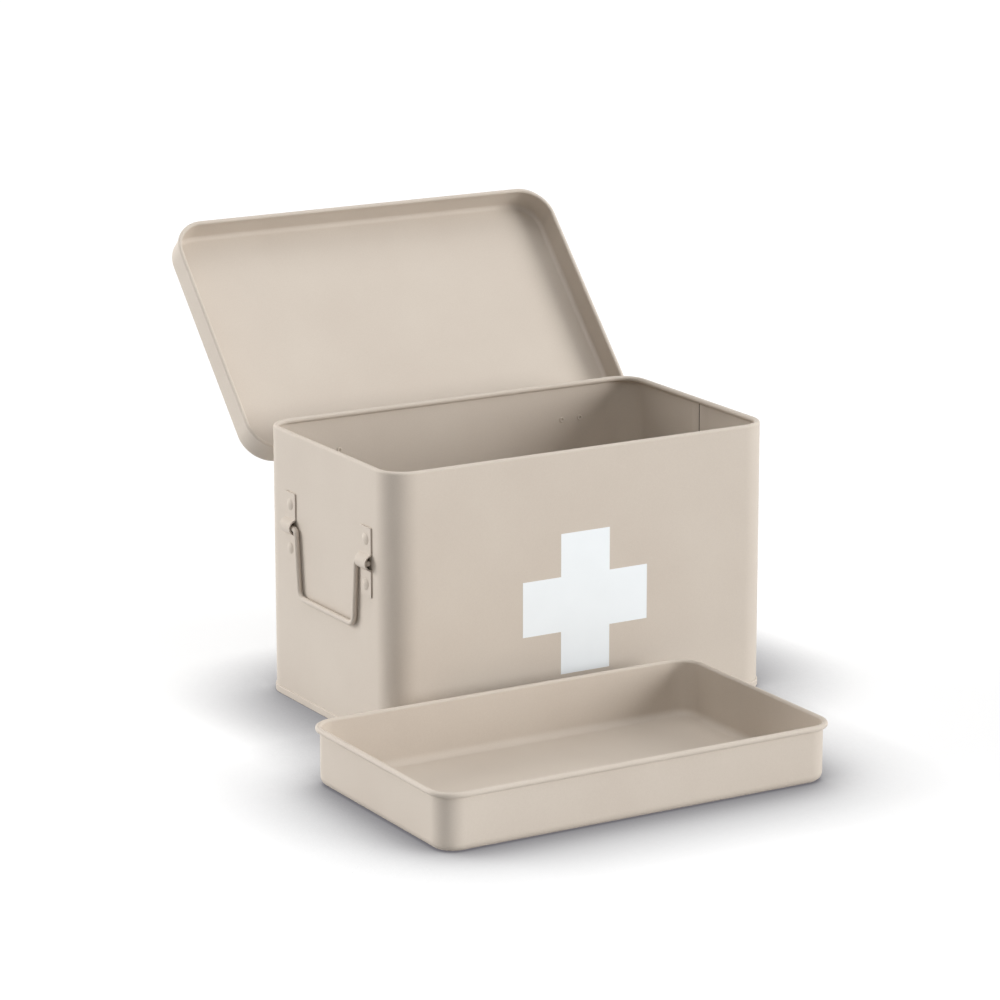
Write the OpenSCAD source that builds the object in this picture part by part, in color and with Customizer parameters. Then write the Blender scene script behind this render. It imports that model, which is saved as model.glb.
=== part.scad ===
// Steel first-aid box with a hinged pan lid, two wire bail handles and a lift-out tray.
// Millimetres. Origin: centre of the box's underside, +X to the right, the front faces -Y, +Z up.

/* [Box] */
// Outer width of the box, left to right
body_w = 320; // [260:1:400]
// Outer depth of the box, front to back
body_d = 193.8; // [180:0.1:260]
// Height of the box up to the top of its rolled rim
body_h = 203; // [180:0.5:260]
// Outer radius of the box's upright corners
corner_r = 21.6; // [16:0.1:28]
// Thickness of the steel sheet with its powder coat
sheet_t = 0.8; // [0.6:0.1:1]
// Radius of the roll along the box's rim, turned inwards
rim_r = 2.05; // [1.6:0.05:2.4]
// Width of the lap where the wrapped wall overlaps itself, on the right side
lap_w = 9; // [6:0.5:12]
// Front edge of that lap, from the middle of the right side
lap_y = -2.5; // [-8:0.5:4]
// Height of the base panel's lip that wraps the foot of the wall
base_lip_h = 5.5; // [3:0.5:8]
// How far that lip stands proud of the wall
base_lip_t = 0.9; // [0.7:0.1:1.2]

/* [Lid] */
// Gap between the box's wall and the inside of the lid's skirt
lid_gap = 3.4; // [3:0.1:5]
// Depth of the lid's skirt, from its curled edge to the top of its panel
lid_skirt_h = 23.25; // [20:0.25:26]
// Height of the closed lid's panel above the box's rim, room for the rim of the hung tray
lid_headroom = 3.9; // [3.9:0.1:5]
// Radius of the curl along the lid's edge
lid_curl_r = 1.6; // [1.3:0.1:1.8]
// How far the curl stands proud of the skirt's outer face
lid_curl_proud = 1; // [0.6:0.1:1.2]
// Radius of the drawn edge between the lid's skirt and its panel
lid_edge_r = 4.5; // [3:0.1:6]
// Angle at which the lid stands open against its stop
open_angle = 133; // [100:0.5:133]

/* [Hinges] */
// Distance of each hinge's middle from the box's end wall
hinge_inset = 55; // [45:1:75]
// Length of a hinge
hinge_len = 32; // [26:1:40]
// Outer radius of the hinge knuckles
knuckle_r = 1.7; // [1.6:0.05:1.8]
// Radius of the hinge pin
pin_r = 0.9; // [0.8:0.05:0.95]
// Radial running clearance of the pin in its knuckles
pin_play = 0.05; // [0.03:0.01:0.08]
// Gap between the knuckles and the box's wall
knuckle_wall_gap = 0.3; // [0.3:0.05:0.5]
// Thickness of a hinge leaf
leaf_t = 0.8; // [0.6:0.1:0.8]
// Distance of the hinge rivets below the box's rim
hinge_rivet_drop = 29.5; // [28:0.5:32]
// Spacing of the two rivets in a leaf
hinge_rivet_gap = 16; // [13:0.5:18]
// Radius of a hinge rivet's shank
hinge_rivet_r = 1.4; // [1.1:0.1:1.6]

/* [Handles] */
// Sideways place of both handles' middle on the end walls
handle_y = -4; // [-8:0.5:8]
// Distance of each bracket's middle from the handle's middle
bracket_y = 57.5; // [50:0.5:62]
// Width of a bracket strap
bracket_w = 15.5; // [14:0.5:18]
// Height of a bracket strap
bracket_h = 51; // [46:1:58]
// Thickness of a bracket strap
bracket_t = 1.1; // [0.9:0.1:1.4]
// Depth of the bail's tunnel below the box's rim
tunnel_drop = 70; // [62:1:80]
// Inner radius of the half-round tunnel that is pressed into a bracket
tunnel_r = 4.9; // [4.8:0.1:5.5]
// Distance of each bracket rivet above or below the tunnel
bracket_rivet_z = 16.5; // [15:0.5:18]
// Radius of a bracket rivet's domed head
bracket_rivet_head_r = 4.4; // [4:0.1:5]
// Diameter of the bail wire
wire_d = 4; // [3.6:0.1:4.2]
// Drop of the bail's grip below the tunnels
bail_drop = 50; // [44:1:60]
// Angle by which each arm leans inwards on its way down
bail_splay = 5; // [0:0.5:8]
// Centre-line radius of the bends at the top of a bail
bail_top_bend = 4; // [3.5:0.5:6]
// Centre-line radius of the bends at the ends of the grip
bail_grip_bend = 7; // [5:0.5:12]
// Clearance between the bail wire and what it passes
wire_gap = 0.35; // [0.3:0.05:0.5]

/* [Cross] */
// Length of the cross from tip to tip
cross_span = 105; // [80:1:120]
// Width of each arm of the cross
cross_arm = 41; // [30:1:48]
// Depth of the cross's middle below the box's rim
cross_drop = 113.5; // [95:0.5:120]
// Thickness of the white enamel film
cross_t = 0.12; // [0.1:0.01:0.2]

/* [Tray] */
// Gap all round between the tray's wall and the box's rolled rim when it hangs there
tray_gap = 1; // [0.8:0.1:1.4]
// Height of the tray
tray_h = 42.85; // [35:0.05:60]
// Radius of the tray's rolled-out rim
tray_rim_r = 2.05; // [1.8:0.05:2.2]
// Radius of the fillet under the tray's rim
tray_fillet_r = 1.5; // [1:0.1:2]
// Outer radius of the tray's bottom edge
tray_edge_r = 6.5; // [4:0.1:8]
// Middle of the tray left or right of the box's middle, where it stands beside the box
tray_x = -83.6; // [-120:0.1:40]
// Clear floor between the box's front wall and the tray
tray_floor_gap = 23.5; // [10:0.5:80]

/* [Hidden] */
$fn = 64;

coat = [0.80, 0.755, 0.705];
coat_light = [0.84, 0.80, 0.76];
enamel = [0.94, 0.95, 0.96];
eps = 0.01;
// How far a cutter reaches past the sheet and past an edge
cut_reach = 2;
cut_depth = 4;
// Width of the flat flange on a wall's profile, and how much of it a floor or panel takes in
flange_w = 2;
flange_lap = 1;

// Box
opening_w = body_w - 4 * rim_r;
opening_d = body_d - 4 * rim_r;

// Lid, as it lies when closed
skirt_w = body_w + 2 * (lid_gap + sheet_t);
skirt_d = body_d + 2 * (lid_gap + sheet_t);
skirt_r = corner_r + lid_gap;
lid_top_z = body_h + lid_headroom + sheet_t;
lid_rim_z = lid_top_z - lid_skirt_h;

// Hinges
hinge_x = body_w / 2 - hinge_inset;
pivot_y = body_d / 2 + knuckle_wall_gap + knuckle_r;
pivot_drop = 1.4;
pivot_z = lid_rim_z - pivot_drop;
knuckle_gap = 0.3;
knuckle_share = 0.38;
knuckle_mid = hinge_len * knuckle_share;
knuckle_end = (hinge_len - knuckle_mid) / 2 - knuckle_gap;
hinge_swing_gap = 0.5;
hinge_rivet_z = body_h - hinge_rivet_drop;
hinge_rivet_head_r = hinge_rivet_r * 1.9;
hinge_rivet_head_h = 0.9;
hinge_notch_gap = 1;
leaf_edge = 3.6;
leaf_lap = 1;
lid_leaf_rise = 12;
rivet_play = 0.03;

// Handles
bracket_rivet_r = 2;
bracket_rivet_head_h = 1.3;
tunnel_out_r = tunnel_r + bracket_t;
tunnel_z = body_h - tunnel_drop;
bail_x = body_w / 2 + wire_d / 2 + wire_gap;
bail_entry_y = bracket_y - bracket_w / 2 - wire_gap;
bail_end_inset = 1.5;
bail_end_y = bracket_y + bracket_w / 2 - bail_end_inset;
bail_sag = 0.4;
bail_z = tunnel_z - bail_sag;
// A straight run reaches this far into its bends and is this much thinner in radius
run_reach = 0.25;
run_step = 0.03;
arm_angle = 90 - bail_splay;
bail_bends = bail_grip_bend + bail_top_bend;
arm_run = (bail_drop - bail_bends * (1 - cos(arm_angle))) / sin(arm_angle);
grip_run = bail_entry_y - bail_bends * sin(arm_angle) - arm_run * cos(arm_angle);

// Cross
cross_z = body_h - cross_drop;

// Tray
tray_w = opening_w - 2 * tray_gap;
tray_d = opening_d - 2 * tray_gap;
tray_r = corner_r - 2 * rim_r - tray_gap;
tray_rim_out = 2 * tray_rim_r - sheet_t;
tray_y = -(body_d / 2 + tray_floor_gap + tray_d / 2 + tray_rim_out);

// Flat rounded rectangle with its middle at the origin
module rounded_rect(w, d, r) {
    square([w - 2 * r, d], center = true);
    square([w, d - 2 * r], center = true);
    for (sx = [-1, 1], sy = [-1, 1])
        translate([sx * (w / 2 - r), sy * (d / 2 - r)]) circle(r);
}

// Carries a profile round a rounded rectangle. The profile's x is the distance outwards from
// the rectangle's outline and its y is the height.
module wrap(w, d, r) {
    for (k = [0:3]) {
        sx = (k == 0 || k == 3) ? 1 : -1;
        sy = (k < 2) ? 1 : -1;
        translate([sx * (w / 2 - r), sy * (d / 2 - r), 0])
            rotate([0, 0, 90 * k])
                rotate_extrude(angle = 90) translate([r, 0]) children();
    }
    for (s = [0, 180]) {
        rotate([0, 0, s]) translate([w / 2, d / 2 - r, 0])
            rotate([90, 0, 0]) linear_extrude(height = d - 2 * r) children();
        rotate([0, 0, s]) translate([-w / 2 + r, d / 2, 0])
            rotate([90, 0, 90]) linear_extrude(height = w - 2 * r) children();
    }
}

// Drawn edge of a pan: a quarter of a ring round the origin, between the angles 270 and 360,
// with a flat flange that runs on inwards under the pan's floor
module drawn_edge(r) {
    intersection() {
        difference() {
            circle(r);
            circle(r - sheet_t);
        }
        translate([0, -r]) square(r);
    }
    translate([-flange_w, -r]) square([flange_w, sheet_t]);
}

// Floor of a pan whose wall has that outline and drawn edge: it laps the flange all round
module pan_floor(w, d, r, edge_r) {
    inset = edge_r + flange_w - flange_lap;
    linear_extrude(height = sheet_t) rounded_rect(w - 2 * inset, d - 2 * inset, r - inset);
}

// Straight wire along +X from the origin, let into the bends at both ends
module wire_run(length) {
    translate([-run_reach, 0, 0]) rotate([0, 90, 0])
        cylinder(h = length + 2 * run_reach, r = wire_d / 2 - run_step);
}

// Wire bend in the XY plane: it starts at the origin along +X, turns left by the angle
// (right if negative) and carries its children on from its end
module wire_bend(r, angle) {
    side = angle > 0 ? 1 : -1;
    translate([0, side * r, 0]) rotate([0, 0, angle > 0 ? -90 : 90 + angle])
        rotate_extrude(angle = abs(angle)) translate([r, 0]) circle(d = wire_d);
    translate([0, side * r, 0]) rotate([0, 0, angle]) translate([0, -side * r, 0]) children();
}

// Low domed rivet head on the plane z = 0, rising to z = h
module rivet_head(r, h) {
    ball = (r * r + h * h) / (2 * h);
    rotate_extrude() intersection() {
        translate([0, h - ball]) circle(ball, $fn = 128);
        square([r, h]);
    }
}

// Tubular rivet along +Z: domed head at z = 0, shank through the grip and a rolled eyelet below
module tube_rivet(r, head_r, head_h, grip) {
    eyelet_r = r * 1.55;
    eyelet_h = r * 0.5;
    bore_r = r * 0.62;
    bore_h = r * 1.3;
    rivet_head(head_r, head_h);
    difference() {
        union() {
            translate([0, 0, -grip]) cylinder(h = grip, r = r);
            translate([0, 0, -grip - eyelet_h]) cylinder(h = eyelet_h, r = eyelet_r);
        }
        translate([0, 0, -grip - 2 * eyelet_h]) cylinder(h = bore_h, r = bore_r);
    }
}

// Hole for a rivet of that shank radius, through a sheet that lies at z = 0
module rivet_hole(r) {
    cylinder(h = 2 * cut_reach, r = r + rivet_play, center = true);
}

// Puts its children on a side wall's outer face: +Z outwards, +X upwards, at side -1 or +1
module on_end_wall(side, y, z) {
    translate([side * body_w / 2, y, z]) rotate([0, side * 90, 0])
        rotate([0, 0, side > 0 ? 180 : 0]) children();
}

// Places of the hinge rivets along X
function hinge_rivet_xs() = [for (s = [-1, 1], k = [-1, 1]) s * hinge_x + k * hinge_rivet_gap / 2];

module swing_lid() {
    translate([0, pivot_y, pivot_z]) rotate([-open_angle, 0, 0])
        translate([0, -pivot_y, -pivot_z]) children();
}

module body_wall() {
    roll_z = body_h - rim_r;
    color(coat) difference() {
        union() {
            wrap(body_w, body_d, corner_r) {
                translate([-sheet_t, sheet_t]) square([sheet_t, roll_z - sheet_t]);
                translate([-rim_r, roll_z]) circle(rim_r);
            }
            translate([body_w / 2 - 2 * sheet_t, lap_y, sheet_t])
                cube([sheet_t + eps, lap_w, roll_z - rim_r - sheet_t]);
        }
        for (x = hinge_rivet_xs()) translate([x, body_d / 2, hinge_rivet_z])
            rotate([90, 0, 0]) rivet_hole(hinge_rivet_r);
        for (side = [-1, 1], s = [-1, 1], k = [-1, 1])
            on_end_wall(side, handle_y + s * bracket_y, tunnel_z + k * bracket_rivet_z)
                rivet_hole(bracket_rivet_r);
    }
}

module base_panel() {
    color(coat) {
        pan_floor(body_w, body_d, corner_r, 0);
        wrap(body_w, body_d, corner_r) {
            intersection() {
                union() {
                    translate([0, base_lip_t]) circle(base_lip_t);
                    translate([0, base_lip_h - base_lip_t]) circle(base_lip_t);
                    translate([0, base_lip_t]) square([base_lip_t, base_lip_h - 2 * base_lip_t]);
                }
                square([base_lip_t, base_lip_h]);
            }
            translate([-flange_w, 0]) square([flange_w, sheet_t]);
        }
    }
}

module lid_pan() {
    notch_top = pivot_z + knuckle_r + 2 * lid_curl_r;
    color(coat) swing_lid() difference() {
        union() {
            wrap(skirt_w, skirt_d, skirt_r) {
                translate([-sheet_t, lid_rim_z + lid_curl_r])
                    square([sheet_t, lid_skirt_h - lid_curl_r - lid_edge_r]);
                translate([lid_curl_proud - lid_curl_r, lid_rim_z + lid_curl_r]) circle(lid_curl_r);
                translate([-lid_edge_r, lid_top_z - lid_edge_r]) mirror([0, 1])
                    drawn_edge(lid_edge_r);
            }
            translate([0, 0, lid_top_z - sheet_t])
                pan_floor(skirt_w, skirt_d, skirt_r, lid_edge_r);
        }
        for (s = [-1, 1]) translate([s * hinge_x, skirt_d / 2, 0])
            translate([-hinge_len / 2 - hinge_notch_gap, -cut_depth, lid_rim_z - cut_depth])
                cube([hinge_len + 2 * hinge_notch_gap, 2 * cut_depth,
                      notch_top - lid_rim_z + cut_depth]);
        for (x = hinge_rivet_xs()) translate([x, skirt_d / 2, pivot_z + lid_leaf_rise])
            rotate([90, 0, 0]) rivet_hole(hinge_rivet_r);
    }
}

module enamel_cross() {
    color(enamel) translate([0, -body_d / 2, cross_z]) rotate([90, 0, 0])
        linear_extrude(height = cross_t) {
            square([cross_span, cross_arm], center = true);
            square([cross_arm, cross_span], center = true);
        }
}

module tray() {
    rim_x = tray_rim_r - sheet_t;
    rim_z = tray_h - tray_rim_r;
    fillet_drop = 0.4 * tray_fillet_r;
    fillet_z = rim_z - tray_rim_r - fillet_drop;
    color(coat_light) translate([tray_x, tray_y, 0]) {
        pan_floor(tray_w, tray_d, tray_r, tray_edge_r);
        wrap(tray_w, tray_d, tray_r) {
            translate([-tray_edge_r, tray_edge_r]) drawn_edge(tray_edge_r);
            translate([-sheet_t, tray_edge_r]) square([sheet_t, rim_z - tray_edge_r]);
            translate([rim_x, rim_z]) circle(tray_rim_r);
            difference() {
                translate([0, fillet_z]) square([tray_fillet_r, rim_z - fillet_z]);
                translate([tray_fillet_r, fillet_z]) circle(tray_fillet_r);
            }
        }
    }
}

// Knuckle segment of a hinge round the pivot, from x = x0 over the given length
module knuckle(x0, length) {
    translate([x0, pivot_y, pivot_z]) rotate([0, 90, 0]) cylinder(h = length, r = knuckle_r);
}

module pin_bore() {
    translate([0, pivot_y, pivot_z]) rotate([0, 90, 0])
        cylinder(h = hinge_len + 2 * cut_reach, r = pin_r + pin_play, center = true);
}

module hinge_body_leaf(side) {
    foot_z = hinge_rivet_z - leaf_edge - hinge_rivet_r;
    color(coat) translate([side * hinge_x, 0, 0]) difference() {
        union() {
            translate([-hinge_len / 2, body_d / 2, foot_z])
                cube([hinge_len, leaf_t, pivot_z - foot_z]);
            for (s = [-1, 1]) translate([s * (hinge_len - knuckle_end) / 2, 0, 0])
                knuckle(-knuckle_end / 2, knuckle_end);
        }
        pin_bore();
        translate([-hinge_len / 2 + knuckle_end, body_d / 2 - cut_depth,
                   pivot_z - knuckle_r - hinge_swing_gap])
            cube([hinge_len - 2 * knuckle_end, 3 * cut_depth, 2 * cut_depth]);
        for (k = [-1, 1]) translate([k * hinge_rivet_gap / 2, body_d / 2, hinge_rivet_z])
            rotate([90, 0, 0]) rivet_hole(hinge_rivet_r);
    }
}

module hinge_lid_leaf(side) {
    inner_y = skirt_d / 2 - sheet_t;
    top_z = pivot_z + lid_leaf_rise + leaf_edge;
    color(coat) swing_lid() translate([side * hinge_x, 0, 0]) difference() {
        union() {
            translate([-hinge_len / 2, inner_y - leaf_t, pivot_z + knuckle_r + hinge_swing_gap])
                cube([hinge_len, leaf_t, top_z - pivot_z - knuckle_r - hinge_swing_gap]);
            translate([-knuckle_mid / 2, inner_y - leaf_t, pivot_z])
                cube([knuckle_mid, leaf_t, knuckle_r + hinge_swing_gap + leaf_lap]);
            knuckle(-knuckle_mid / 2, knuckle_mid);
        }
        pin_bore();
        for (k = [-1, 1]) translate([k * hinge_rivet_gap / 2, inner_y, pivot_z + lid_leaf_rise])
            rotate([90, 0, 0]) rivet_hole(hinge_rivet_r);
    }
}

module hinge_pin(side) {
    head_t = 0.7;
    head_r = 1.5;
    end_play = 0.1;
    color(coat) translate([side * hinge_x, pivot_y, pivot_z]) rotate([0, 90, 0]) {
        cylinder(h = hinge_len + 2 * end_play, r = pin_r, center = true);
        for (s = [-1, 1]) translate([0, 0, s * (hinge_len / 2 + end_play + head_t / 2)])
            cylinder(h = head_t, r = head_r, center = true);
    }
}

module hinge_body_rivets() {
    color(coat) for (x = hinge_rivet_xs())
        translate([x, body_d / 2 + leaf_t, hinge_rivet_z]) rotate([-90, 0, 0])
            tube_rivet(hinge_rivet_r, hinge_rivet_head_r, hinge_rivet_head_h, leaf_t + sheet_t);
}

module hinge_lid_rivets() {
    color(coat) swing_lid() for (x = hinge_rivet_xs())
        translate([x, skirt_d / 2, pivot_z + lid_leaf_rise]) rotate([-90, 0, 0])
            tube_rivet(hinge_rivet_r, hinge_rivet_head_r, hinge_rivet_head_h, leaf_t + sheet_t);
}

// Strap with a half-round tunnel across its middle, riveted above and below it
module bracket(side, end) {
    color(coat) on_end_wall(side, handle_y + end * bracket_y, tunnel_z) difference() {
        union() {
            linear_extrude(height = bracket_t) square([bracket_h, bracket_w], center = true);
            translate([0, bracket_w / 2, 0]) rotate([90, 0, 0])
                cylinder(h = bracket_w, r = tunnel_out_r);
        }
        rotate([90, 0, 0]) cylinder(h = bracket_w + 2 * cut_reach, r = tunnel_r, center = true);
        translate([-bracket_h, -bracket_w, -2 * tunnel_out_r])
            cube([2 * bracket_h, 2 * bracket_w, 2 * tunnel_out_r]);
        for (k = [-1, 1]) translate([k * bracket_rivet_z, 0, 0]) rivet_hole(bracket_rivet_r);
    }
}

module bracket_rivets(side) {
    color(coat) for (end = [-1, 1], k = [-1, 1])
        on_end_wall(side, handle_y + end * bracket_y, tunnel_z + k * bracket_rivet_z)
            translate([0, 0, bracket_t])
                tube_rivet(bracket_rivet_r, bracket_rivet_head_r, bracket_rivet_head_h,
                           bracket_t + sheet_t);
}

// Half a bail beyond its grip: bend, arm, bend and the end in the tunnel
module bail_half() {
    translate([grip_run, 0, 0]) wire_bend(bail_grip_bend, arm_angle) {
        wire_run(arm_run);
        translate([arm_run, 0, 0]) wire_bend(bail_top_bend, -arm_angle)
            wire_run(bail_end_y - bail_entry_y);
    }
}

// Bail in its hanging place: ends turned outwards through the tunnels, arms drawn in downwards
module bail(side) {
    color(coat) translate([side * bail_x, handle_y, bail_z - bail_drop]) rotate([90, 0, 90]) {
        translate([-grip_run, 0, 0]) wire_run(2 * grip_run);
        bail_half();
        mirror([1, 0, 0]) bail_half();
    }
}

body_wall();
base_panel();
lid_pan();
enamel_cross();
tray();
hinge_body_leaf(-1);  // hinge_left_body_leaf
hinge_lid_leaf(-1);  // hinge_left_lid_leaf
hinge_pin(-1);  // hinge_left_pin
hinge_body_leaf(1);  // hinge_right_body_leaf
hinge_lid_leaf(1);  // hinge_right_lid_leaf
hinge_pin(1);  // hinge_right_pin
hinge_body_rivets();
hinge_lid_rivets();
bracket(-1, -1);  // bracket_left_front
bracket(-1, 1);  // bracket_left_rear
bracket(1, -1);  // bracket_right_front
bracket(1, 1);  // bracket_right_rear
bracket_rivets(-1);  // bracket_left_rivets
bracket_rivets(1);  // bracket_right_rivets
bail(-1);  // bail_left
bail(1);  // bail_right
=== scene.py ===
# %% [markdown]
# # A powder-coated steel first-aid box
# A sheet-steel box with a rolled rim, a pan lid that stands open on two hinges, a wire bail
# on each end and a loose tray in front. Everything is pressed, rolled or bent from sheet and
# wire, so nearly every shape here is one outline carried along one path, and that is how it
# is built: as whole arrays of points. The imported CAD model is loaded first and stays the
# frame that every piece has to fit.

# %% Load the frame
import math

import bpy
import numpy as np
from mathutils import Matrix, Vector


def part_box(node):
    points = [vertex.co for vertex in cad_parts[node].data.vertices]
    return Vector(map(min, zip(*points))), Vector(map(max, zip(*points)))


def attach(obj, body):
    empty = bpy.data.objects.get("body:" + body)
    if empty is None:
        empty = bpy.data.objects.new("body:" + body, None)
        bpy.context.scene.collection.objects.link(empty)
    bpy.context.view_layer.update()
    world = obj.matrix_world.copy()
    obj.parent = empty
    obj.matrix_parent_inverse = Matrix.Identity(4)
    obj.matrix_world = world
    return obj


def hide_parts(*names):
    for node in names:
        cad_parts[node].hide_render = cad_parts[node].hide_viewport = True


MM = 0.001
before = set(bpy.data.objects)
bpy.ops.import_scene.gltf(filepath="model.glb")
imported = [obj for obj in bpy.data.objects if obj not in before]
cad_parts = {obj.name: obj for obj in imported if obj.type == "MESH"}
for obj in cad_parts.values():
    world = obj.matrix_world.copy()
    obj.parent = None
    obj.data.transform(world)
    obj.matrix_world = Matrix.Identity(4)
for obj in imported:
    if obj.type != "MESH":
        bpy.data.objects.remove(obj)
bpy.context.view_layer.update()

# %% [markdown]
# ## Sizes
# The CAD nodes say where everything is, so the sizes are read back from their boxes where
# they can be, and the few that a box can't show, such as a bend radius, are named here in
# millimetres. All points are worked out in millimetres and turned to metres once, in the
# function that makes a mesh.

# %% Sizes of the sheet-metal pieces, in millimetres
SHEET = 0.8
CORNER = 21.6
RIM = 2.05
BASE_LIP = 0.9
BASE_LIP_HEIGHT = 5.5
LID_CURL = 1.6
LID_CURL_PROUD = 1.0
LID_EDGE = 4.5
LID_DEPTH = 23.25
LID_GAP = 3.4
OPEN_ANGLE = 133.0
TRAY_RIM = 2.05
TRAY_EDGE = 6.5
TRAY_FILLET = 1.0


def node_box(name):
    """Lowest and highest corner of a CAD node, in millimetres."""
    low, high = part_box(name)
    return np.array(low) / MM, np.array(high) / MM


wall_low, wall_high = node_box("body_wall")
BODY_W, BODY_D = (wall_high - wall_low)[:2]
BODY_H = wall_high[2]
tray_low, tray_high = node_box("tray")
tray_centre = (tray_low + tray_high) / 2
TRAY_H = tray_high[2]
tray_out = 2 * TRAY_RIM - SHEET
TRAY_W, TRAY_D = (tray_high - tray_low)[:2] - 2 * tray_out
TRAY_CORNER = CORNER - 2 * RIM - (BODY_W - 4 * RIM - TRAY_W) / 2
print("box %.1f x %.1f x %.1f mm, tray %.1f x %.1f x %.1f mm, corner %.1f" % (
    BODY_W, BODY_D, BODY_H, TRAY_W, TRAY_D, TRAY_H, TRAY_CORNER))

# %% [markdown]
# ## Camera
# The picture was taken with a long lens from the front left, a little above the rim. The
# camera is placed by angle, height and distance, and its three axes are written straight
# into its matrix. A long lens keeps the upright edges nearly parallel, which is what makes
# a product picture calm.

# %% Camera
AZIMUTH, ELEVATION, ROLL = np.radians([-30.41, 14.25, 0.07])
TARGET = np.array([-14.51, 0.0, 145.29])
DISTANCE = 2986.42
LENS = 145.75

back = np.array([math.sin(AZIMUTH) * math.cos(ELEVATION),
                 -math.cos(AZIMUTH) * math.cos(ELEVATION), math.sin(ELEVATION)])
level = np.array([math.cos(AZIMUTH), math.sin(AZIMUTH), 0.0])
upright = np.cross(back, level)
right = math.cos(ROLL) * level - math.sin(ROLL) * upright
up = math.sin(ROLL) * level + math.cos(ROLL) * upright
place = (TARGET + back * DISTANCE) * MM

camera_data = bpy.data.cameras.new("photo_camera")
camera_data.lens, camera_data.sensor_width = LENS, 36.0
camera_data.clip_end = 100.0
camera = bpy.data.objects.new("photo_camera", camera_data)
bpy.context.scene.collection.objects.link(camera)
axes = np.eye(4)
axes[:3, :4] = np.column_stack([right, up, back, place])
camera.matrix_world = Matrix(axes.tolist())
bpy.context.scene.camera = camera
print("camera at", np.round(place, 3))

# %% [markdown]
# ## From arrays to meshes
# A surface here is a grid of points: one way runs along a path, the other along a profile.
# The function below joins the grid's neighbours with four-sided faces. Where a row has shrunk
# to one point, as in the middle of a floor, it becomes a single vertex with a fan of
# triangles, so the skin stays closed and every face points outwards.

# %% Grid to mesh
SHARP = math.radians(40)


def skin(name, grid, close_profile=False, pole_start=False, pole_end=False):
    """Mesh object from a grid of points in mm, shaped (path, profile, 3). The path is closed.
    A face joins points (i, j), (i+1, j), (i+1, j+1) and (i, j+1), so its normal is the
    direction along the path crossed with the direction along the profile."""
    n, m = grid.shape[:2]
    index = np.arange(n * m).reshape(n, m)
    if pole_start:
        index[:, 0] = index[0, 0]
    if pole_end:
        index[:, -1] = index[0, -1]
    ahead = np.roll(index, -1, 0)
    if close_profile:
        index, ahead = (np.concatenate([a, a[:, :1]], 1) for a in (index, ahead))
    faces = np.stack([index[:, :-1], ahead[:, :-1], ahead[:, 1:], index[:, 1:]], -1)
    first = int(pole_start)
    last = faces.shape[1] - int(pole_end)
    polygons = faces[:, first:last].reshape(-1, 4).tolist()
    if pole_start:
        polygons += faces[:, 0][:, [0, 2, 3]].tolist()
    if pole_end:
        polygons += faces[:, -1][:, [0, 1, 2]].tolist()
    used, packed = np.unique(np.concatenate([np.ravel(p) for p in polygons]), return_inverse=True)
    corners = np.split(packed, np.cumsum([len(p) for p in polygons])[:-1])
    mesh = bpy.data.meshes.new(name)
    mesh.from_pydata((grid.reshape(-1, 3)[used] * MM).tolist(), [], [c.tolist() for c in corners])
    mesh.shade_smooth()
    mesh.set_sharp_from_angle(angle=SHARP)
    mesh.validate()
    piece = bpy.data.objects.new(name, mesh)
    bpy.context.scene.collection.objects.link(piece)
    return piece


def join(name, pieces):
    """One object from several, keeping the first one's materials."""
    bpy.ops.object.select_all(action="DESELECT")
    for piece in pieces:
        piece.select_set(True)
    bpy.context.view_layer.objects.active = pieces[0]
    bpy.ops.object.join()
    pieces[0].name = pieces[0].data.name = name
    return pieces[0]


print("a grid becomes a mesh with smooth shading below", round(math.degrees(SHARP)), "degrees")

# %% [markdown]
# ## The outline that everything follows
# The box, its lid and its tray are all wrapped round a rounded rectangle. The outline comes
# with the outward direction at each point, so a profile can be carried round it. Beside each
# bend lies one extra point a fraction of a millimetre into the flat: smooth shading blends
# from point to point, and the extra one stops the bend's shading from creeping over the flat.

# %% Rounded outline and profiles
HOLD = 0.6
ARC_STEPS, SIDE_STEPS = 20, 6


def rounded_outline(width, depth, radius):
    """Points and outward directions round a rounded rectangle, anticlockwise from above.
    Corner k is an arc of the radius about its own centre, from 90 k to 90 k + 90 degrees,
    and the straight after it runs from that arc's last point to the next arc's first."""
    angle = np.radians(90 * np.arange(4)[:, None] + np.linspace(0, 90, ARC_STEPS + 1))
    out = np.stack([np.cos(angle), np.sin(angle)], -1)
    signs = np.array([(1, 1), (-1, 1), (-1, -1), (1, -1)])
    bend = (signs * (np.array([width, depth]) / 2 - radius))[:, None] + radius * out
    start, end = bend[:, -1:], np.roll(bend, -1, 0)[:, :1]
    length = np.linalg.norm(end - start, axis=-1, keepdims=True)
    inner = np.arange(1, SIDE_STEPS) / SIDE_STEPS
    t = np.concatenate([np.zeros(1), inner, np.ones(1)])[None, :, None]
    t = np.clip(t, HOLD / length, 1 - HOLD / length)
    side = start + (end - start) * t
    side_out = np.repeat(out[:, -1:], side.shape[1], 1)
    return (np.concatenate([bend, side], 1).reshape(-1, 2),
            np.concatenate([out, side_out], 1).reshape(-1, 2))


def arc(cx, cz, radius, start, end, steps):
    """Points at the centre plus radius times (cos, sin) of evenly spaced angles, in degrees."""
    a = np.radians(np.linspace(start, end, steps + 1))
    return np.column_stack([cx + radius * np.cos(a), cz + radius * np.sin(a)])


def held(points):
    """The same profile with a point added just inside both ends of every long straight. The
    new points sort in between the numbers of the straight's two ends."""
    gap = np.diff(points, axis=0)
    length = np.linalg.norm(gap, axis=1)
    unit = gap / np.maximum(length, 1e-9)[:, None]
    long = length > 4 * HOLD
    after = points[:-1][long] + unit[long] * HOLD
    before = points[1:][long] - unit[long] * HOLD
    place_of = np.where(long)[0]
    order = np.concatenate([np.arange(len(points)), place_of + 0.3, place_of + 0.6])
    return np.concatenate([points, after, before])[np.argsort(order, kind="stable")]


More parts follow.
